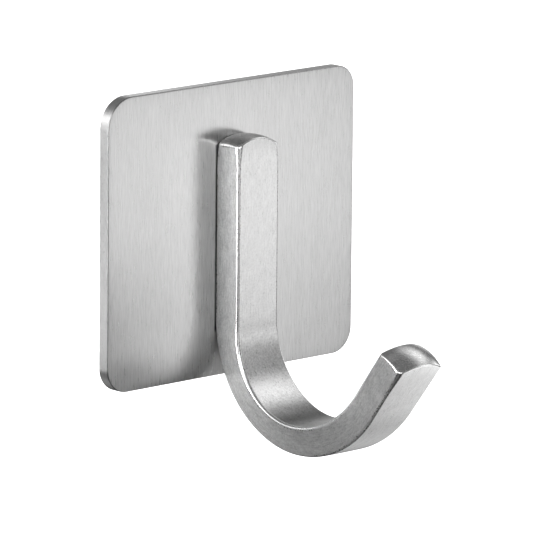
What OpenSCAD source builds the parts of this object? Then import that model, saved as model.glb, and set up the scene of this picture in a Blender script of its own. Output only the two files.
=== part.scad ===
// Adhesive wall hook: a brushed steel plate on a foam adhesive pad, with a
// J-shaped flat bar resistance-welded to its front.
// Frame: origin at the centre of the pad's wall side, +Y into the wall,
// +Z up, the hook reaches out along -Y.  All sizes in millimetres.

/* [Plate] */
// Width of the plate, left to right
plate_w = 50; // [40:0.5:60]
// Height of the plate
plate_h = 45; // [40:0.5:60]
// Sheet thickness of the plate
plate_t = 2; // [1.5:0.1:3]
// Radius of the plate's corners, seen from the front
plate_r = 4; // [2:0.5:8]

/* [Hook bar] */
// Width of the flat bar
bar_w = 8.4; // [6:0.1:12]
// Thickness of the flat bar
bar_t = 5; // [3.6:0.1:6]
// Rounding of the bar's four long edges
bar_edge = 0.45; // [0.2:0.05:0.8]
// Sideways place of the bar on the plate, + to the right
bar_x = 0.8; // [-2:0.1:2]
// Height of the bar's upper end above the plate's centre
bar_top = 14.8; // [12:0.1:18]
// Height at which the straight leg starts to bend
bend_z = -14.3; // [-17:0.1:-12]

/* [Crowned ends] */
// Radius of the crown on each end of the bar
crown_r = 8; // [6.5:0.1:20]
// Lean of the upper crown, + raises the side away from the plate
crown_lean_top = 1; // [-8:0.5:8]
// Lean of the tip's crown, + lowers the side over the cradle
crown_lean_tip = 7; // [-8:0.5:8]

/* [Bend] */
// Mid-line radius of the first quarter of the bend, down to its lowest point
bend_r1 = 15.2; // [12:0.1:20]
// Mid-line radius from the lowest point to the rising tip
bend_r2 = 18.7; // [14:0.1:24]
// Straight length of the rising tip, to the top of its crown
tip_len = 11.3; // [8:0.1:18]

/* [Adhesive pad] */
// Gap from the plate's edge to the pad's edge
pad_inset = 1.5; // [1:0.1:4]
// Thickness of the foam core
foam_t = 0.8; // [0.5:0.1:1.5]
// Thickness of each adhesive film
film_t = 0.1; // [0.1:0.05:0.2]

/* [Welds] */
// Diameter of each weld nugget
nugget_d = 4.4; // [3:0.1:6]
// Depth of a nugget into the plate and into the bar
nugget_h = 0.8; // [0.4:0.1:1]
// Height of the upper nugget
nugget_hi = 7.5; // [4:0.5:9]
// Height of the lower nugget
nugget_lo = -8.5; // [-10:0.5:-4]

/* [Hidden] */
$fn = 96;

pad_t = foam_t + 2 * film_t;           // whole pad
front_y = -(pad_t + plate_t);          // front face of the plate
pad_w = plate_w - 2 * pad_inset;
pad_h = plate_h - 2 * pad_inset;
pad_r = max(1, plate_r - pad_inset);

// Mid-line of the bar in the plane of the J: [distance out from the plate,
// height].  A straight leg runs down to bend_z, a quarter arc takes it to the
// lowest point, a wider arc brings it up to a 4-in-3 slope (53.13 degrees),
// and a straight tip follows.
rise = atan2(4, 3);
c1 = [bar_t / 2 + bend_r1, bend_z];
c2 = [c1[0], bend_z - bend_r1 + bend_r2];
rise_0 = c2 + bend_r2 * [0.8, -0.6];   // start of the straight tip

// Rectangle with round corners, centred
module round_rect(w, h, r) {
  square([w - 2 * r, h], center = true);
  square([w, h - 2 * r], center = true);
  for (sx = [-1, 1], sy = [-1, 1])
    translate([sx * (w / 2 - r), sy * (h / 2 - r)]) circle(r);
}

// Flat sheet with round corners whose rear face is at y = rear
module sheet(w, h, r, rear, t)
  translate([0, rear, 0]) rotate([90, 0, 0])
    linear_extrude(t) round_rect(w, h, r);

// Children are drawn in the plane of the J: x out from the plate, y up
module j_plane()
  translate([bar_x, front_y, 0]) rotate([90, 0, -90]) children();

// Children are drawn along +Z and laid along a heading in the J's plane
module heading(p, a)
  translate([p[0], p[1], 0]) rotate([0, 0, a]) rotate([0, 90, 0]) children();

// Straight stretch of bar along +Z whose end is crowned by a sphere that
// leans about the middle of the end, at z = len
module crowned_bar(len, lean) {
  cut = len - 4;
  linear_extrude(cut) round_rect(bar_w, bar_t, bar_edge);
  intersection() {
    translate([0, 0, cut]) linear_extrude(6)
      round_rect(bar_w, bar_t, bar_edge);
    translate([0, 0, len]) rotate([lean, 0, 0]) translate([0, 0, -crown_r])
      sphere(crown_r);
  }
}

// Ring of bar about c
module bar_ring(c, r)
  translate([c[0], c[1], 0]) rotate_extrude()
    translate([r, 0]) round_rect(bar_t, bar_w, bar_edge);

// Stretch of that ring inside the wedge with its corner at c
module bent_bar(c, r, wedge) intersection() {
  bar_ring(c, r);
  translate([c[0], c[1], -bar_w]) linear_extrude(2 * bar_w) polygon(wedge);
}

// Lens-shaped weld nugget centred on the joint between plate and bar
module nugget(z) {
  r = (nugget_d * nugget_d / 4 + nugget_h * nugget_h) / (2 * nugget_h);
  translate([bar_x, front_y, z]) intersection() {
    translate([0, r - nugget_h, 0]) sphere(r);
    translate([0, nugget_h - r, 0]) sphere(r);
  }
}

module nuggets() { nugget(nugget_hi); nugget(nugget_lo); }

// Stamped plate, with a melted-in pocket under each weld
module backplate() color([0.80, 0.80, 0.79]) difference() {
  sheet(plate_w, plate_h, plate_r, -pad_t, plate_t);
  nuggets();
}

// J-shaped flat bar with crowned ends
module hook_bar() color([0.74, 0.74, 0.73]) difference() {
  j_plane() {
    heading([bar_t / 2, bend_z], 90)
      crowned_bar(bar_top - bend_z, crown_lean_top);
    bent_bar(c1, bend_r1, [[0, 0], [-50, 0], [-50, -50], [0, -50]]);
    bent_bar(c2, bend_r2, [[0, 0], [0, -50], [40, -50], [40, -30]]);
    heading(rise_0, rise) crowned_bar(tip_len, crown_lean_tip);
  }
  nuggets();
}

// The two fused spots that join bar and plate
module weld_nuggets() color([0.60, 0.60, 0.62]) nuggets();

// Film of adhesive between the plate and the foam
module plate_adhesive() color([0.86, 0.86, 0.82])
  sheet(pad_w, pad_h, pad_r, -film_t - foam_t, film_t);

// Foam core of the pad
module foam_core() color([0.35, 0.36, 0.38])
  sheet(pad_w, pad_h, pad_r, -film_t, foam_t);

// Film of adhesive that bonds to the wall
module wall_adhesive() color([0.88, 0.88, 0.84])
  sheet(pad_w, pad_h, pad_r, 0, film_t);

backplate();
hook_bar();
weld_nuggets();
plate_adhesive();
foam_core();
wall_adhesive();
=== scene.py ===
import math

import bpy
import numpy as np
from mathutils import Matrix, Vector


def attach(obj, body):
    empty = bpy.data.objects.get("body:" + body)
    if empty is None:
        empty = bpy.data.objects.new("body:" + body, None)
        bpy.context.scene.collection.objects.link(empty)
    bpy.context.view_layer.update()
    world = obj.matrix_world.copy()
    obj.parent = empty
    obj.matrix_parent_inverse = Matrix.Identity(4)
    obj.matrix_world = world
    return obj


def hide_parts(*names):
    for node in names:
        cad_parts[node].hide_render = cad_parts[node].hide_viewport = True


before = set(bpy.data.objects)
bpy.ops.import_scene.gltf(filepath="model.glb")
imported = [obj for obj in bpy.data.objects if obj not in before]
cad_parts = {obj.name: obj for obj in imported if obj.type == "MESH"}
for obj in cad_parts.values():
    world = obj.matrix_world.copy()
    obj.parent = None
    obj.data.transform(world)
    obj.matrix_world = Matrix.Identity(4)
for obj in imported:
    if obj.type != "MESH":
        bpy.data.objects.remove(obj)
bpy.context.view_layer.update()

MM = 0.001

# ---------------------------------------------------------------- camera
# The plate's front face is the plane Y = FRONT; the camera stands up and to
# the left of it, a little over a metre away, with a long lens.
FRONT = -3.0
YAW, PITCH, ROLL = 0.742440, 0.203398, 0.008934
DIST, FOCAL = 1041.10, 6863.6
SHIFT_X, SHIFT_Y = 5.7264, -6.4206


def make_camera():
    d = Vector((math.sin(YAW) * math.cos(PITCH), math.cos(YAW) * math.cos(PITCH), -math.sin(PITCH)))
    r = Vector((math.cos(YAW), -math.sin(YAW), 0.0))
    u = r.cross(d)
    right = r * math.cos(ROLL) + u * math.sin(ROLL)
    up = u * math.cos(ROLL) - r * math.sin(ROLL)
    eye = -DIST * d + SHIFT_X * right + SHIFT_Y * up + Vector((0.0, FRONT, 0.0))
    data = bpy.data.cameras.new("camera")
    data.sensor_width = 36.0
    data.lens = FOCAL * 36.0 / 540.0
    data.clip_start, data.clip_end = 0.05, 50.0
    cam = bpy.data.objects.new("camera", data)
    bpy.context.scene.collection.objects.link(cam)
    m = Matrix((right, up, -d)).transposed().to_4x4()
    m.translation = eye * MM
    cam.matrix_world = m
    bpy.context.scene.camera = cam
    return cam


camera = make_camera()
scene = bpy.context.scene
scene.view_settings.view_transform = "Standard"
scene.view_settings.look = "None"
scene.view_settings.exposure = 0.0
scene.view_settings.gamma = 1.0


# ---------------------------------------------------------------- mesh help
def new_object(name, verts_mm, faces, uvs=None, mats=(), face_mats=None):
    me = bpy.data.meshes.new(name)
    me.from_pydata([tuple(c * MM for c in v) for v in verts_mm], [], faces)
    me.validate()
    for p in me.polygons:
        p.use_smooth = True
    if uvs is not None:
        layer = me.uv_layers.new(name="grain")
        layer.data.foreach_set("uv", np.asarray(uvs, dtype=np.float32).ravel())
    ob = bpy.data.objects.new(name, me)
    scene.collection.objects.link(ob)
    for m in mats:
        me.materials.append(m)
    if face_mats is not None:
        me.polygons.foreach_set("material_index", np.asarray(face_mats, dtype=np.int32))
    me.update()
    return ob


def smoothstep(a, b, x):
    t = min(1.0, max(0.0, (x - a) / (b - a)))
    return t * t * (3 - 2 * t)


def side_stops(n):
    """Places along a flat side, close together by its ends so that the rounding shades crisply."""
    inner = [0.012, 0.05] + [0.05 + 0.9 * (i + 1) / (n + 1) for i in range(n)] + [0.95, 0.988]
    return inner


# ---------------------------------------------------------------- hook bar
BAR_X = 0.77
BAR_W, BAR_T = 8.4, 5.05
BEND_T = 4.6            # thickness at the middle of the bend
BULGE_IN, BULGE_OUT = 0.60, 0.39
SIDE_CROWN = 0.12       # the bar's side faces are slightly barrelled
R1, R2, BEND_Z = 15.22, 18.68, -14.27
BAR_TOP, TIP_LEN = 14.8, 11.25
# crowned ends: radius across the width, radius across the thickness, slope in thickness, slope across
TOP_CROWN = (7.4, 9.3, 0.02, -0.026)
TIP_CROWN = (8.26, 8.65, -0.128, 0.032)
ARC1, ARC2 = math.pi / 2, math.atan2(4, 3)
LEG = BAR_TOP - BEND_Z
BEND_LEN = R1 * ARC1 + R2 * ARC2


def path(s):
    """Mid-line of the bar: s is measured from the top of the upper crown. Gives the point and heading in (out, up)."""
    u0 = BAR_T / 2
    if s <= LEG:
        return np.array([u0, BAR_TOP - s]), -math.pi / 2
    s -= LEG
    c1 = np.array([u0 + R1, BEND_Z])
    if s <= R1 * ARC1:
        a = math.pi + s / R1
        return c1 + R1 * np.array([math.cos(a), math.sin(a)]), a + math.pi / 2 - 2 * math.pi
    s -= R1 * ARC1
    c2 = c1 + np.array([0.0, R2 - R1])
    if s <= R2 * ARC2:
        a = 1.5 * math.pi + s / R2
        return c2 + R2 * np.array([math.cos(a), math.sin(a)]), a + math.pi / 2 - 2 * math.pi
    s -= R2 * ARC2
    p = c2 + R2 * np.array([0.8, -0.6])
    return p + s * np.array([0.6, 0.8]), ARC2


def bend_amount(s):
    k = (s - LEG) / BEND_LEN
    return math.sin(math.pi * min(1.0, max(0.0, k)))


CORNER_SEG = 7
W_STOPS, T_STOPS = side_stops(9), side_stops(5)


def section(radii, w=BAR_W, t=BAR_T):
    """Rounded rectangle, anticlockwise from the inner side's left end; (across, thickness, inward x, inward y, run).
    thickness is + on the inner side of the J."""
    hw, ht = w / 2, t / 2
    pts = []
    # corners: inner-right, inner-left, outer-left, outer-right
    centres = [(hw, ht, 0), (-hw, ht, 90), (-hw, -ht, 180), (hw, -ht, 270)]
    for k, (cx, cy, a0) in enumerate(centres):
        r = radii[k]
        ox, oy = cx - math.copysign(r, cx), cy - math.copysign(r, cy)
        for i in range(CORNER_SEG + 1):
            a = math.radians(a0 + 90 * i / CORNER_SEG)
            pts.append((ox + r * math.cos(a), oy + r * math.sin(a), -math.cos(a), -math.sin(a)))
        # the flat side that follows
        nx, ny = -math.cos(math.radians(a0 + 90)), -math.sin(math.radians(a0 + 90))
        x0, y0 = pts[-1][0], pts[-1][1]
        cx2, cy2, a2 = centres[(k + 1) % 4]
        r2 = radii[(k + 1) % 4]
        a = math.radians(a2)
        x1 = cx2 - math.copysign(r2, cx2) + r2 * math.cos(a)
        y1 = cy2 - math.copysign(r2, cy2) + r2 * math.sin(a)
        for f in (W_STOPS if k % 2 == 0 else T_STOPS):
            pts.append((x0 + (x1 - x0) * f, y0 + (y1 - y0) * f, nx, ny))
    return np.array(pts)


def shaped(sec, s):
    """The section after bending: thinner, wider on the inner side, narrower and slightly hollow on the outer."""
    b = bend_amount(s)
    t = BAR_T + (BEND_T - BAR_T) * b
    out = sec.copy()
    y = sec[:, 1] / (BAR_T / 2)
    hw = BAR_W / 2 + np.where(y > 0, y * BULGE_IN * b, y * BULGE_OUT * b)
    hw = hw - SIDE_CROWN * (1 - 0.6 * smoothstep(LEG - 4, LEG + 10, s)) * y ** 2
    out[:, 0] = sec[:, 0] * hw / (BAR_W / 2)
    flare = 0.40 * smoothstep(LEG + BEND_LEN - 3, LEG + BEND_LEN + TIP_LEN, s)  # the tip widens a little to the right
    out[:, 0] += flare * np.clip(sec[:, 0] / (BAR_W / 2), 0, 1)
    xn = np.clip(sec[:, 0] / (BAR_W / 2), -1, 1)
    out[:, 1] = y * t / 2 + 0.10 * b * (1 - xn ** 2) * np.where(y > 0, y, 0.35 * -y * -1)
    return out


def edge_radii(s):
    """Radius of the four long edges: hand-polished, rounder by the upper end, a wide facet at the tip's outer left edge."""
    top = 0.45 * (1 - smoothstep(0.8, 4.6, s))
    tip = smoothstep(LEG + BEND_LEN + 4.5, LEG + BEND_LEN + TIP_LEN - 0.5, s)
    base = 0.42
    front = base + 0.04 + 0.12 * smoothstep(LEG - 3, LEG + 5, s)
    return [0.32 + top, front + top, 0.32 + 0.42 * tip + top, 0.34 + top]


def crown_height(x, y, crown):
    rw, rt, lean, cross = crown
    rho = (rw - rt) + np.sqrt(np.maximum(rt ** 2 - y ** 2, 1e-6))
    return -rw + np.sqrt(np.maximum(rho ** 2 - x ** 2, 1e-6)) + lean * y + cross * x


def crown_rings(sec, crown, fillet, left):
    """Rings from the side wall over a rounded edge and across the crown; each is (x, thickness, height).
    The edge is rounded more on the left, where the polishing wheel runs over it."""
    x, y, mx, my = sec[:, 0], sec[:, 1], sec[:, 2], sec[:, 3]
    fillet = fillet + left * np.clip(mx, 0.0, 1.0)
    e = 0.02
    z0 = crown_height(x, y, crown)
    slope = (crown_height(x + mx * e, y + my * e, crown) - z0) / e
    th = np.arctan(np.maximum(slope, 0.0))
    zc = z0 + fillet * np.tan(th) - fillet / np.cos(th)
    rings = []
    for i in range(CORNER_SEG + 1):
        a = math.pi + (math.pi / 2 + th - math.pi) * i / CORNER_SEG
        d = fillet * (1 + np.cos(a))
        rings.append(np.stack([x + mx * d, y + my * d, zc + fillet * np.sin(a)], 1))
    last = rings[-1]
    for k in (0.985, 0.95, 0.88, 0.8, 0.7, 0.6, 0.5, 0.4, 0.3, 0.2, 0.1, 0.04):
        q = last[:, :2] * k
        rings.append(np.stack([q[:, 0], q[:, 1], crown_height(q[:, 0], q[:, 1], crown)], 1))
    return rings


def place(s, x, y, ahead=0.0):
    """A point given across, in thickness and ahead of the path at s, in the row frame in mm."""
    p, th = path(s)
    h = np.array([math.cos(th), math.sin(th)])
    n = np.array([-math.sin(th), math.cos(th)])
    q = p + n * y + h * ahead
    return (BAR_X + x, FRONT - q[0], q[1])


def build_bar():
    total = LEG + BEND_LEN + TIP_LEN
    verts, faces, uvs, fmat = [], [], [], []
    rings = []  # (list of vertex ids, v coordinate)
    n = len(section([0.4] * 4))

    def add_ring(pts, v):
        start = len(verts)
        verts.extend(pts)
        rings.append((list(range(start, start + n)), v))

    # upper crown, from its centre outwards: the heading there points down, so it is mirrored
    top_s, tip_s = 5.5, total - 5.0
    sec = shaped(section(edge_radii(0.0)), 0.0)
    crown = crown_rings(sec, TOP_CROWN, 0.30, 0.55)
    centre_top = len(verts)
    verts.append(place(0.0, 0, 0))
    for ring in reversed(crown):
        p, th = path(0.0)
        add_ring([(BAR_X + q[0], FRONT - (p[0] + q[1]), p[1] + q[2]) for q in ring], None)
    n_top = len(crown)
    # walls
    stations = [3.2, 4.2]
    stations += list(np.arange(5.5, LEG - 0.5, 1.0)) + [LEG]
    stations += list(LEG + np.linspace(0, BEND_LEN, 111)[1:])
    stations += list(np.arange(LEG + BEND_LEN + 0.6, total - 3.0, 0.5))
    for s in stations:
        sec_s = shaped(section(edge_radii(s)), s)
        add_ring([place(s, q[0], q[1]) for q in sec_s], s)
    n_wall = len(stations)
    # tip crown
    sec = shaped(section(edge_radii(total)), total)
    crown = crown_rings(sec, TIP_CROWN, 0.30, 0.05)
    for ring in crown:
        add_ring([place(total, q[0], q[1], q[2]) for q in ring], None)
    centre_tip = len(verts)
    verts.append(place(total, 0, 0))

    # perimeter run for the grain
    base = section([0.42] * 4)
    nxt = np.roll(base[:, :2], -1, axis=0)
    run = np.concatenate([[0], np.cumsum(np.hypot(*(nxt - base[:, :2]).T))])

    def planar(vid):
        v = verts[vid]
        return (v[0] - BAR_X, v[1] + v[2])

    on_side = np.abs(base[:, 2]) > 0.99
    on_edge = np.ones(len(base), dtype=bool)
    on_edge[[i for i in range(len(base)) if max(abs(base[i, 2]), abs(base[i, 3])) > 0.9999]] = False
    # the first and last points of each flat side belong to the edge beside it
    beside = [on_edge[(i + 1) % len(base)] or on_edge[i - 1] for i in range(len(base))]
    on_edge = on_edge | np.array(beside)

    def quad(a, b, c, d, uv, m):
        faces.append((a, b, c, d))
        uvs.extend(uv)
        fmat.append(m)

    for k in range(len(rings) - 1):
        (r0, v0), (r1, v1) = rings[k], rings[k + 1]
        cap = v0 is None and v1 is None
        if v0 is None:
            v0 = 2.2 if k < n_top else total - 2.2
        if v1 is None:
            v1 = 2.2 if k + 1 < n_top else total - 2.2
        # the outermost crown ring stands on the wall
        for i in range(n):
            j = (i + 1) % n
            ids = (r0[i], r1[i], r1[j], r0[j])
            if cap:
                uv = [planar(q) for q in ids]
            else:
                uv = [(run[i], v0), (run[i], v1), (run[i + 1], v1), (run[i + 1], v0)]
            ring = k if k < n_top else len(rings) - 2 - k
            if cap:
                m = 1 if ring < n_top - CORNER_SEG - 2 else 3
            else:
                m = 3 if on_edge[i] and on_edge[j] else (2 if on_side[i] and on_side[j] else 0)
            quad(*ids, uv, m)
    first, last = rings[0][0], rings[-1][0]
    for i in range(n):
        j = (i + 1) % n
        faces.append((centre_top, first[i], first[j]))
        uvs.extend([planar(centre_top), planar(first[i]), planar(first[j])])
        fmat.append(1)
        faces.append((centre_tip, last[j], last[i]))
        uvs.extend([planar(centre_tip), planar(last[j]), planar(last[i])])
        fmat.append(1)
    return verts, faces, uvs, fmat


# ---------------------------------------------------------------- plate and pad
def outline(w, h, radii, seg=14, sides=10):
    """Rounded rectangle seen from the front: (x, z, inward x, inward z). Corners: top right, top left, bottom left, bottom right."""
    pts = []
    centres = [(sx * (w / 2 - r), sz * (h / 2 - r), a0)
               for r, (sx, sz, a0) in zip(radii, ((1, 1, 0), (-1, 1, 90), (-1, -1, 180), (1, -1, 270)))]
    for k, (cx, cz, a0) in enumerate(centres):
        r = radii[k]
        for i in range(seg + 1):
            a = math.radians(a0 + 90 * i / seg)
            pts.append((cx + r * math.cos(a), cz + r * math.sin(a), -math.cos(a), -math.sin(a)))
        a = math.radians(a0 + 90)
        nx, nz = -math.cos(a), -math.sin(a)
        x0, z0 = pts[-1][0], pts[-1][1]
        cx2, cz2, a2 = centres[(k + 1) % 4]
        a = math.radians(a2)
        r2 = radii[(k + 1) % 4]
        x1, z1 = cx2 + r2 * math.cos(a), cz2 + r2 * math.sin(a)
        for i in range(sides):
            f = (i + 1) / (sides + 1)
            pts.append((x0 + (x1 - x0) * f, z0 + (z1 - z0) * f, nx, nz))
    return np.array(pts)


def build_sheet(w, h, radii, y_rear, y_front, round_front, round_rear, roll=0.0, bow=0.0):
    """A sheet with rounded front and rear edges. roll draws the front face back near its edge as stamping does."""
    o = outline(w, h, radii)
    r = min(radii)
    n = len(o)
    verts, faces, rings, uvs, fmat = [], [], [], [], []
    nxt = np.roll(o[:, :2], -1, axis=0)
    run = np.concatenate([[0], np.cumsum(np.hypot(*(nxt - o[:, :2]).T))])

    def ring(d, y):
        start = len(verts)
        for q in o:
            verts.append((q[0] + q[2] * d, y, q[1] + q[3] * d))
        rings.append(list(range(start, start + n)))

    # from the middle of the rear face outwards, over the wall and in across the front
    steps = 5
    for d in (r * 0.95, r * 0.5, round_rear + 0.08):
        ring(d, y_rear)
    for i in range(steps + 1):
        a = math.radians(90 * i / steps)
        ring(round_rear * (1 - math.sin(a)), y_rear - round_rear * (1 - math.cos(a)))
    for f in (0.06, 0.35, 0.65, 0.94):
        y0, y1 = y_rear - round_rear, y_front + round_front
        ring(-bow * math.sin(math.pi * f), y0 + (y1 - y0) * f)
    for i in range(steps + 1):
        a = math.radians(90 * i / steps)
        ring(round_front * (1 - math.cos(a)), y_front + roll + round_front * (1 - math.sin(a)))
    for d in (round_front + 0.05, round_front + 0.25, round_front + 0.6, round_front + 1.2, r * 0.6, r * 0.95):
        k = math.exp(-(d - round_front) / 0.5)
        ring(d, y_front + roll * k)
    first_wall, last_wall = 3 + steps, 3 + steps + 5
    last_round = last_wall + steps
    for k, (a, b) in enumerate(zip(rings, rings[1:])):
        wall = first_wall <= k < last_wall
        for i in range(n):
            j = (i + 1) % n
            ids = (a[i], a[j], b[j], b[i])
            faces.append(ids)
            if wall:
                uvs.extend([(verts[q][1], run[i] if q in (a[i], b[i]) else run[i + 1]) for q in ids])
            else:
                uvs.extend([(verts[q][0], verts[q][2]) for q in ids])
            fmat.append(1 if wall else (2 if last_wall <= k < last_round else 0))
    for ids in (tuple(reversed(rings[0])), tuple(rings[-1])):
        faces.append(ids)
        uvs.extend([(verts[q][0], verts[q][2]) for q in ids])
        fmat.append(0)
    return verts, faces, uvs, fmat


# ---------------------------------------------------------------- materials
def nodes_of(name):
    m = bpy.data.materials.new(name)
    m.use_nodes = True
    t = m.node_tree
    t.nodes.clear()
    out = t.nodes.new("ShaderNodeOutputMaterial")
    bsdf = t.nodes.new("ShaderNodeBsdfPrincipled")
    t.links.new(bsdf.outputs["BSDF"], out.inputs["Surface"])
    return m, t, bsdf


def noise(t, vec, scale, detail=2.0, rough=0.5, kind="3D"):
    n = t.nodes.new("ShaderNodeTexNoise")
    n.noise_dimensions = kind
    n.inputs["Scale"].default_value = scale
    n.inputs["Detail"].default_value = detail
    n.inputs["Roughness"].default_value = rough
    t.links.new(vec, n.inputs["Vector"])
    return n.outputs["Fac"]


def stretch(t, vec, scale):
    n = t.nodes.new("ShaderNodeMapping")
    n.vector_type = "POINT"
    n.inputs["Scale"].default_value = scale
    t.links.new(vec, n.inputs["Vector"])
    return n.outputs["Vector"]


def remap(t, fac, lo, hi, a=0.3, b=0.7):
    n = t.nodes.new("ShaderNodeMapRange")
    n.inputs["From Min"].default_value = a
    n.inputs["From Max"].default_value = b
    n.inputs["To Min"].default_value = lo
    n.inputs["To Max"].default_value = hi
    n.clamp = True
    t.links.new(fac, n.inputs["Value"])
    return n.outputs["Result"]


def math_node(t, op, a, b):
    n = t.nodes.new("ShaderNodeMath")
    n.operation = op
    for i, v in enumerate((a, b)):
        if isinstance(v, (int, float)):
            n.inputs[i].default_value = v
        else:
            t.links.new(v, n.inputs[i])
    return n.outputs["Value"]


def grey(t, fac, tint=(1.0, 1.0, 1.0)):
    n = t.nodes.new("ShaderNodeCombineColor")
    for ch, k in zip(("Red", "Green", "Blue"), tint):
        t.links.new(math_node(t, "MULTIPLY", fac, k), n.inputs[ch])
    return n.outputs["Color"]


def grain_tangent(t, b):
    tan = t.nodes.new("ShaderNodeTangent")
    tan.direction_type = "UV_MAP"
    tan.uv_map = "grain"
    t.links.new(tan.outputs["Tangent"], b.inputs["Tangent"])


def painted_contact_shade_bar(t):
    """Falls from 1 to a dark tone over the last fraction of a millimetre before the plate: painted shade in the joint.
    """
    xyz = t.nodes.new("ShaderNodeSeparateXYZ")
    t.links.new(t.nodes.new("ShaderNodeTexCoord").outputs["Object"], xyz.inputs[0])
    h = math_node(t, "MULTIPLY", math_node(t, "SUBTRACT", FRONT * MM, xyz.outputs[1]), 1000.0)
    return remap(t, h, 0.25, 1.0, 0.05, 0.25)


def painted_contact_shade_plate(t):
    """The same painted shade on the plate, along the outline of the welded leg and its crowned top."""
    xyz = t.nodes.new("ShaderNodeSeparateXYZ")
    t.links.new(t.nodes.new("ShaderNodeTexCoord").outputs["Object"], xyz.inputs[0])
    x = math_node(t, "SUBTRACT", math_node(t, "MULTIPLY", xyz.outputs[0], 1000.0), BAR_X)
    z = math_node(t, "MULTIPLY", xyz.outputs[2], 1000.0)
    side = math_node(t, "SUBTRACT", math_node(t, "ABSOLUTE", x, 0.0), BAR_W / 2)
    arc = math_node(t, "ADD", math_node(t, "SUBTRACT", z, BAR_TOP - 0.45), math_node(t, "MULTIPLY", math_node(t, "MULTIPLY", x, x), 0.0729))
    foot = math_node(t, "MULTIPLY", math_node(t, "SUBTRACT", BEND_Z - 1.0, z), 0.25)
    d = math_node(t, "MAXIMUM", math_node(t, "MAXIMUM", side, arc), foot)
    return remap(t, d, 0.30, 1.0, 0.0, 0.16)


def brushed_plate():
    m, t, b = nodes_of("brushed_plate")
    geo = t.nodes.new("ShaderNodeTexCoord").outputs["Object"]
    # long fine scratches up and down the plate, and broader soft bands
    fine = noise(t, stretch(t, geo, (4600, 4600, 380)), 1.0, 3.0, 0.6)
    mid = noise(t, stretch(t, geo, (1900, 1900, 90)), 1.0, 3.0, 0.55)
    broad = noise(t, stretch(t, geo, (420, 420, 30)), 1.0, 2.0, 0.5)
    cloud = noise(t, stretch(t, geo, (260, 260, 200)), 1.0, 3.0, 0.55)
    mix = math_node(t, "ADD", math_node(t, "MULTIPLY", fine, 0.82), math_node(t, "MULTIPLY", mid, 0.18))
    col = math_node(t, "ADD", remap(t, mix, 0.585, 0.745, 0.34, 0.66), remap(t, broad, -0.008, 0.008, 0.3, 0.7))
    col = math_node(t, "ADD", col, remap(t, cloud, -0.012, 0.012, 0.3, 0.7))
    # painted shade on the plate along the joint with the bar
    col = math_node(t, "MULTIPLY", col, painted_contact_shade_plate(t))
    t.links.new(grey(t, col, (1.0, 1.0, 0.998)), b.inputs["Base Color"])
    b.inputs["Metallic"].default_value = 1.0
    t.links.new(remap(t, mix, 0.27, 0.31, 0.35, 0.65), b.inputs["Roughness"])
    b.inputs["Anisotropic"].default_value = 0.8
    bump = t.nodes.new("ShaderNodeBump")
    bump.inputs["Strength"].default_value = 0.14
    bump.inputs["Distance"].default_value = 0.00002
    t.links.new(mix, bump.inputs["Height"])
    t.links.new(bump.outputs["Normal"], b.inputs["Normal"])
    # tangent across the grain: the highlight spreads sideways
    grain_tangent(t, b)
    return m


def bell(t, value, centre, width):
    d = math_node(t, "ABSOLUTE", math_node(t, "DIVIDE", math_node(t, "SUBTRACT", value, centre), width), 0.0)
    return math_node(t, "EXPONENT", math_node(t, "MULTIPLY", math_node(t, "MULTIPLY", d, d), -1.0), 0.0)


def painted_bend_light_and_grain(t, uv, grain):
    """Tone along the inner side of the bend: a painted highlight halfway down, painted shade in bands above it and in
    the cradle, and grainy.
    """
    split = t.nodes.new("ShaderNodeSeparateXYZ")
    t.links.new(uv, split.inputs[0])
    run, along = split.outputs[0], split.outputs[1]
    inner = remap(t, run, 1.0, 0.0, 9.2, 9.8)
    total = 1.0
    # painted shade at 4, 21 and 79 degrees down the bend; a painted highlight at 41 degrees, stronger towards one side
    for angle, width, amount in ((4, 1.9, -0.16), (21, 3.0, -0.32), (41, 4.0, 0.40), (79, 3.8, -0.56)):
        b = bell(t, along, LEG + (R1 * math.radians(angle)), width)
        if angle == 41:
            b = math_node(t, "MULTIPLY", b, remap(t, run, 0.45, 1.0, 1.0, 5.5))
        total = math_node(t, "ADD", total, math_node(t, "MULTIPLY", b, amount))
    rough_zone = bell(t, along, LEG + 11.0, 10.0)
    total = math_node(t, "ADD", total, math_node(t, "MULTIPLY", rough_zone, remap(t, grain, -0.10, 0.10, 0.38, 0.62)))
    return math_node(t, "ADD", 1.0, math_node(t, "MULTIPLY", inner, math_node(t, "SUBTRACT", total, 1.0)))


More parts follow.
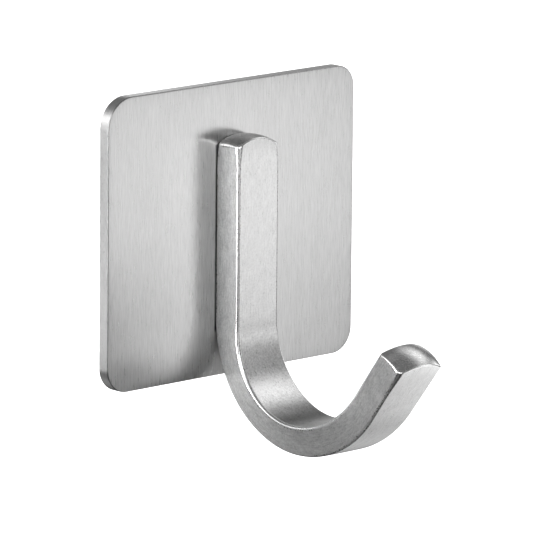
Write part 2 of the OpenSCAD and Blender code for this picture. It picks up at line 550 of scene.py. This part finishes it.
def brushed_bar(name, rough, aniso, base, spread=0.05, cap=False, paint_contact_shade=True, bump=0.08, paint_bend_light=False):
    """Brushed along the length with a slightly mottled, blasted look and a few pits."""
    m, t, b = nodes_of(name)
    geo = t.nodes.new("ShaderNodeTexCoord").outputs["Object"]
    grain = noise(t, stretch(t, geo, (3600, 3600, 3600)), 1.0, 3.0, 0.6)
    if cap:
        fine = noise(t, stretch(t, geo, (1100, 4200, 4200)), 1.0, 3.0, 0.6)
        cloud = noise(t, stretch(t, geo, (600, 600, 600)), 1.0, 3.0, 0.5)
    else:
        uv = t.nodes.new("ShaderNodeUVMap")
        uv.uv_map = "grain"
        fine = noise(t, stretch(t, uv.outputs["UV"], (4.2, 0.8, 1.0)), 1.0, 4.0, 0.65, "2D")
        cloud = noise(t, stretch(t, uv.outputs["UV"], (1.1, 0.45, 1.0)), 1.0, 3.0, 0.5, "2D")
    mix = math_node(t, "ADD", math_node(t, "MULTIPLY", fine, 0.40), math_node(t, "MULTIPLY", cloud, 0.2))
    mix = math_node(t, "ADD", mix, math_node(t, "MULTIPLY", grain, 0.40))
    pits = noise(t, stretch(t, geo, (2300, 2300, 2300)), 1.0, 1.0, 0.5)
    col = math_node(t, "MULTIPLY", remap(t, mix, base - spread, base + spread, 0.38, 0.62), remap(t, pits, 1.0, 0.86, 0.66, 0.74))
    # painted shade on the bar where it meets the plate
    if paint_contact_shade:
        col = math_node(t, "MULTIPLY", col, painted_contact_shade_bar(t))
    # painted highlight and painted shade along the inside of the bend, with grain
    if paint_bend_light:
        col = math_node(t, "MULTIPLY", col, painted_bend_light_and_grain(t, uv.outputs["UV"], grain))
    t.links.new(grey(t, col, (1.0, 1.0, 0.998)), b.inputs["Base Color"])
    b.inputs["Metallic"].default_value = 1.0
    t.links.new(remap(t, mix, rough - 0.02, rough + 0.02, 0.35, 0.65), b.inputs["Roughness"])
    b.inputs["Anisotropic"].default_value = aniso
    if aniso > 0:
        grain_tangent(t, b)
    bm = t.nodes.new("ShaderNodeBump")
    bm.inputs["Strength"].default_value = bump
    bm.inputs["Distance"].default_value = 0.02 * MM
    t.links.new(mix, bm.inputs["Height"])
    t.links.new(bm.outputs["Normal"], b.inputs["Normal"])
    return m


def simple(name, colour, rough, metallic=0.0, scale=900.0, spread=0.06, bump_mm=0.02, **sockets):
    m, t, b = nodes_of(name)
    vec = t.nodes.new("ShaderNodeTexCoord").outputs["Object"]
    n = noise(t, vec, scale, 4.0, 0.6)
    n2 = noise(t, vec, scale * 0.12, 2.0, 0.5)
    mix = math_node(t, "ADD", math_node(t, "MULTIPLY", n, 0.7), math_node(t, "MULTIPLY", n2, 0.3))
    t.links.new(grey(t, remap(t, mix, 1 - spread, 1 + spread, 0.3, 0.7), colour), b.inputs["Base Color"])
    t.links.new(remap(t, mix, rough - 0.05, rough + 0.05, 0.3, 0.7), b.inputs["Roughness"])
    b.inputs["Metallic"].default_value = metallic
    for k, v in sockets.items():
        b.inputs[k].default_value = v
    bump = t.nodes.new("ShaderNodeBump")
    bump.inputs["Strength"].default_value = 0.4
    bump.inputs["Distance"].default_value = bump_mm * MM
    t.links.new(n, bump.inputs["Height"])
    t.links.new(bump.outputs["Normal"], b.inputs["Normal"])
    return m


mat_plate = brushed_plate()
mat_bar = brushed_bar("brushed_bar_faces", 0.29, 0.8, 0.71, 0.11, bump=0.22, paint_bend_light=True)
mat_cap = brushed_bar("brushed_bar_ends", 0.24, 0.4, 0.70, 0.14, cap=True, bump=0.14)
mat_side = brushed_bar("brushed_bar_sides", 0.46, 0.5, 0.79, 0.15, bump=0.3)
# the long edges and the rims of the ends: polished smoother, and with a base colour lifted well above the faces' to
# give a painted highlight along them
mat_edge_painted_highlight = brushed_bar("bar_edges_painted_highlight", 0.28, 0.0, 0.88, 0.04, bump=0.02)
mat_edge = brushed_bar("brushed_plate_edge", 0.36, 0.6, 0.84, 0.05, paint_contact_shade=False)
# the rounding along the plate's front edge: the same steel with a much darker base colour, a painted dark line of shade
# along the edge
mat_rim_painted_shade = brushed_bar("plate_rim_painted_shade", 0.30, 0.0, 0.40, 0.06, paint_contact_shade=False)
mat_weld = simple("weld_metal", (0.42, 0.42, 0.43), 0.5, 1.0)
mat_film = simple("adhesive_film", (0.80, 0.80, 0.76), 0.25, 0.0, 400.0, 0.04)
mat_foam = simple("foam", (0.16, 0.165, 0.175), 0.85, 0.0, 2500.0, 0.25, 0.08)


# ---------------------------------------------------------------- the pieces
v, f, uv, fm = build_bar()
bar = new_object("hook_bar_finished", v, f, uv, (mat_bar, mat_cap, mat_side, mat_edge_painted_highlight), fm)
bar.data.flip_normals()  # the rings wind the other way round, so its faces are turned outwards
bar.data.update()
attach(bar, "root")
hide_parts("hook_bar")

v, f, uv, fm = build_sheet(50, 45, (3.4, 4.7, 3.9, 3.9), -1.0, -3.0, 0.14, 0.12, roll=0.02)
plate = new_object("backplate_finished", v, f, uv, (mat_plate, mat_edge, mat_rim_painted_shade), fm)
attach(plate, "root")
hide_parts("backplate")

v, f, uv, fm = build_sheet(47, 42, (2.5, 2.5, 2.5, 2.5), -0.1, -0.9, 0.04, 0.04, bow=0.05)
foam = new_object("foam_pad", v, f, uv, (mat_foam,), [0] * len(f))
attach(foam, "root")
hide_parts("foam_core")

for node, mat in (("weld_nuggets", mat_weld), ("plate_adhesive", mat_film), ("wall_adhesive", mat_film)):
    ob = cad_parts[node]
    ob.data.materials.clear()
    ob.data.materials.append(mat)


# ---------------------------------------------------------------- studio
def make_floor():
    """Pale floor, lit to plain white; the light tent's lower half shows in the metal in its place."""
    size, z = 6.0, -0.12
    me = bpy.data.meshes.new("floor")
    me.from_pydata([(-size, -size, z), (size, -size, z), (size, size, z), (-size, size, z)], [], [(0, 1, 2, 3)])
    ob = bpy.data.objects.new("floor", me)
    scene.collection.objects.link(ob)
    m, t, b = nodes_of("floor")
    b.inputs["Base Color"].default_value = (0.9, 0.9, 0.9, 1)
    b.inputs["Roughness"].default_value = 0.9
    b.inputs["Emission Color"].default_value = (1, 1, 1, 1)
    b.inputs["Emission Strength"].default_value = 1.0
    me.materials.append(m)
    ob.visible_glossy = False
    ob.visible_diffuse = False
    return ob


# Soft lamps on the wall of the tent, as seen from its middle:
# (bearing, height, half-width, half-height) in degrees and strength.
LAMPS = [
    (172.2, 5.6, 6.5, 17.1, 15.80),     # key, from the left and slightly behind the plate
    (199.1, 32.3, 32.0, 11.8, 1.15),    # high left
    (313.8, -12.0, 8.0, 16.0, 1.40),    # right, low: what the plate's face looks at
    (312.8, -5.4, 21.2, 11.0, 0.92),
    (352.0, 42.5, 29.0, 12.0, 1.45),    # high right
    (90.2, -12.5, 30.2, 7.0, 3.60),
    (337.2, -44.3, 39.6, 8.8, 1.90),    # table bounce, right
    (25.7, -49.6, 31.6, 9.0, 0.60),
    (245.3, -4.4, 6.8, 12.5, 1.95),     # beside the camera
    (109.5, 11.3, 10.3, 10.7, 4.65),
    (296.0, -22.0, 9.4, 10.2, 0.72),
    (354.8, 7.9, 8.7, 10.0, 3.60),
    (306.0, 17.0, 9.0, 12.0, 1.35),
    (62.5, 15.5, 10.0, 8.5, 2.70),      # behind the plate's top edge
    (160.0, 34.0, 16.0, 11.0, 2.80),
    (173.4, -58.0, 44.9, 7.0, 0.75),    # table bounce, left
    (0.0, 90.0, 999.0, 8.0, 0.18),      # lid of the tent
    (232.0, 26.0, 12.0, 9.0, 6.50),     # rims of the leg's upper end
    (126.2, 20.0, 7.0, 6.5, 1.80),      # rim of the plate's upper left corner
    (101.6, -36.0, 26.6, 9.0, 0.45),    # under the plate's lower left corner
    (6.0, 57.0, 22.0, 9.0, 0.60),       # crown of the tip, just left of its middle
    (36.0, 4.0, 14.0, 12.0, 1.20),      # far side of the tip
    (308.0, 4.0, 10.0, 8.5, 0.20),      # top of the plate
    (206.0, -4.0, 12.0, 10.0, 0.72),    # fills the line of light on the leg's front edge
    (322.0, -26.0, 9.0, 9.0, 0.62),     # lower right of plate and bar
    (34.0, -38.0, 12.0, 7.0, 0.45),     # outer side of the bend, low
    (268.0, -6.0, 12.0, 14.0, 0.45),    # along the leg's front left edge
]
TENT_R, TENT_AT, TENT_UP = 0.16, (0.0, -0.018, -0.005), 0.195


def make_tent():
    """A round light tent about the hook, seen by the metal but not by the camera."""
    rings, segs = 48, 96
    verts = [(0, 0, TENT_R)]
    for i in range(1, rings):
        e = math.pi / 2 - math.pi * i / rings
        for k in range(segs):
            a = 2 * math.pi * k / segs
            verts.append((TENT_R * math.cos(e) * math.cos(a), TENT_R * math.cos(e) * math.sin(a), TENT_R * math.sin(e)))
    verts.append((0, 0, -TENT_R))
    faces = []
    for k in range(segs):
        n = (k + 1) % segs
        faces.append((0, 1 + k, 1 + n))
        for i in range(rings - 2):
            a, b = 1 + i * segs, 1 + (i + 1) * segs
            faces.append((a + k, b + k, b + n, a + n))
        a = 1 + (rings - 2) * segs
        faces.append((a + k, len(verts) - 1, a + n))
    me = bpy.data.meshes.new("light_tent")
    me.from_pydata(verts, [], faces)
    ob = bpy.data.objects.new("light_tent", me)
    scene.collection.objects.link(ob)
    ob.location = TENT_AT
    ob.visible_camera = False
    ob.visible_shadow = False

    m = bpy.data.materials.new("light_tent")
    m.use_nodes = True
    t = m.node_tree
    t.nodes.clear()
    out = t.nodes.new("ShaderNodeOutputMaterial")
    em = t.nodes.new("ShaderNodeEmission")
    t.links.new(em.outputs[0], out.inputs["Surface"])
    unit = t.nodes.new("ShaderNodeVectorMath")
    unit.operation = "NORMALIZE"
    t.links.new(t.nodes.new("ShaderNodeTexCoord").outputs["Object"], unit.inputs[0])
    xyz = t.nodes.new("ShaderNodeSeparateXYZ")
    t.links.new(unit.outputs[0], xyz.inputs[0])
    up = math_node(t, "MULTIPLY", math_node(t, "ARCSINE", xyz.outputs[2], 0.0), 180 / math.pi)
    bearing = math_node(t, "MULTIPLY", math_node(t, "ARCTAN2", xyz.outputs[1], xyz.outputs[0]), 180 / math.pi)
    total = math_node(t, "MULTIPLY", math_node(t, "MAXIMUM", xyz.outputs[2], 0.0), TENT_UP)
    for az, el, wa, we, power in LAMPS:
        wrap = t.nodes.new("ShaderNodeMath")
        wrap.operation = "WRAP"
        t.links.new(math_node(t, "SUBTRACT", bearing, az), wrap.inputs[0])
        wrap.inputs[1].default_value = 180.0
        wrap.inputs[2].default_value = -180.0
        a = math_node(t, "POWER", math_node(t, "ABSOLUTE", math_node(t, "DIVIDE", wrap.outputs[0], wa), 0.0), 2.0)
        e = math_node(t, "POWER", math_node(t, "ABSOLUTE", math_node(t, "DIVIDE", math_node(t, "SUBTRACT", up, el), we), 0.0), 2.0)
        fall = math_node(t, "EXPONENT", math_node(t, "MULTIPLY", math_node(t, "ADD", a, e), -1.0), 0.0)
        total = math_node(t, "ADD", total, math_node(t, "MULTIPLY", fall, power))
    t.links.new(total, em.inputs["Strength"])
    me.materials.append(m)
    return ob


floor = make_floor()
tent = make_tent()
world = bpy.data.worlds.new("world")
scene.world = world
world.use_nodes = True
bg = world.node_tree.nodes["Background"]
bg.inputs["Color"].default_value = (1, 1, 1, 1)
bg.inputs["Strength"].default_value = 1.0
